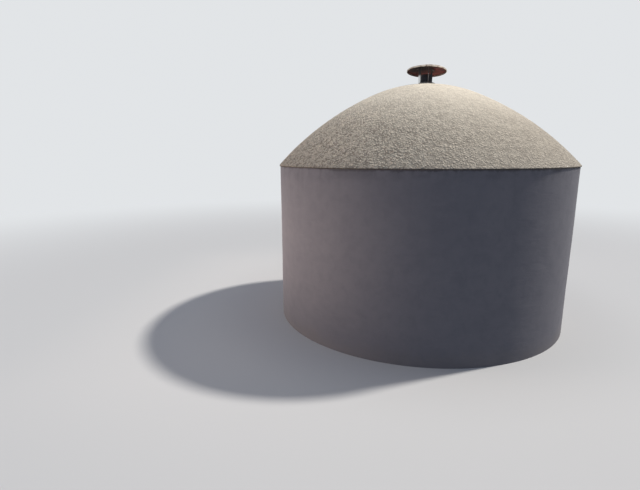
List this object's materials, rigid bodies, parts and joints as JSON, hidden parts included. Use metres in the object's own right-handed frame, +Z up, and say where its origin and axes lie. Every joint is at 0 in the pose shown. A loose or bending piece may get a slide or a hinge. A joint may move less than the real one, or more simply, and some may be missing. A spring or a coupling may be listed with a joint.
{
  "type": "rondavel hut",
  "caption": "Round plastered hut with a shallow domed cement roof on a thin eave lip, a steel flue with a rusty cowl at the crown, and a low plank door set in a timber frame.",
  "frame": {"origin": "centre of the round hut at ground level", "axes": "+Z up, the doorway faces -Y, +X to the right of someone who looks in through the doorway"},
  "size_m": [3.0156, 3.0156, 2.6127],
  "materials": {
    "wall_plaster": "smooth cement plaster painted blue grey, faintly trowelled, dusty at the foot",
    "roof_cement": "coarse spatter-dash cement, pale buff, with dark pits towards the eave",
    "floor_screed": "steel-floated cement screed, worn",
    "flue_mortar": "rough trowelled mortar",
    "flue_steel": "soot-black steel, dull, rusting at the seam",
    "rusty_steel": "red-brown rusted sheet steel, matt",
    "zinc_strap": "weathered galvanised flat bar",
    "frame_timber": "weathered brown timber",
    "door_timber": "weathered boards with open grain",
    "door_iron": "black japanned iron, rusting at the edges"
  },
  "bodies": {
    "root": {"floor_slab": "floor_screed", "threshold": "floor_screed", "wall_segment_1": "wall_plaster", "wall_segment_2": "wall_plaster", "wall_segment_3": "wall_plaster", "wall_segment_4": "wall_plaster", "wall_segment_5": "wall_plaster", "wall_segment_6": "wall_plaster", "wall_segment_7": "wall_plaster", "wall_segment_8": "wall_plaster", "lintel": "wall_plaster", "wall_over_door": "wall_plaster", "roof_bay_1": "roof_cement", "roof_bay_2": "roof_cement", "roof_bay_3": "roof_cement", "roof_bay_4": "roof_cement", "roof_bay_5": "roof_cement", "roof_bay_6": "roof_cement", "roof_bay_7": "roof_cement", "roof_bay_8": "roof_cement", "roof_crown": "roof_cement", "flue_haunching": "flue_mortar", "flue_pipe": "flue_steel", "cowl_strap_1": "zinc_strap", "cowl_strap_2": "zinc_strap", "cowl_strap_3": "zinc_strap", "cowl": "rusty_steel", "frame_jamb_left": "frame_timber", "frame_jamb_right": "frame_timber", "frame_head": "frame_timber", "door_boards": "door_timber", "top_ledge": "door_timber", "middle_ledge": "door_timber", "bottom_ledge": "door_timber", "upper_brace": "door_timber", "lower_brace": "door_timber", "upper_hinge_strap": "door_iron", "lower_hinge_strap": "door_iron", "upper_hinge_plate": "door_iron", "lower_hinge_plate": "door_iron", "bolt_plate": "door_iron", "bolt_bar": "door_iron", "bolt_keep": "door_iron", "pull_handle": "door_iron"}
  },
  "joints": []
}
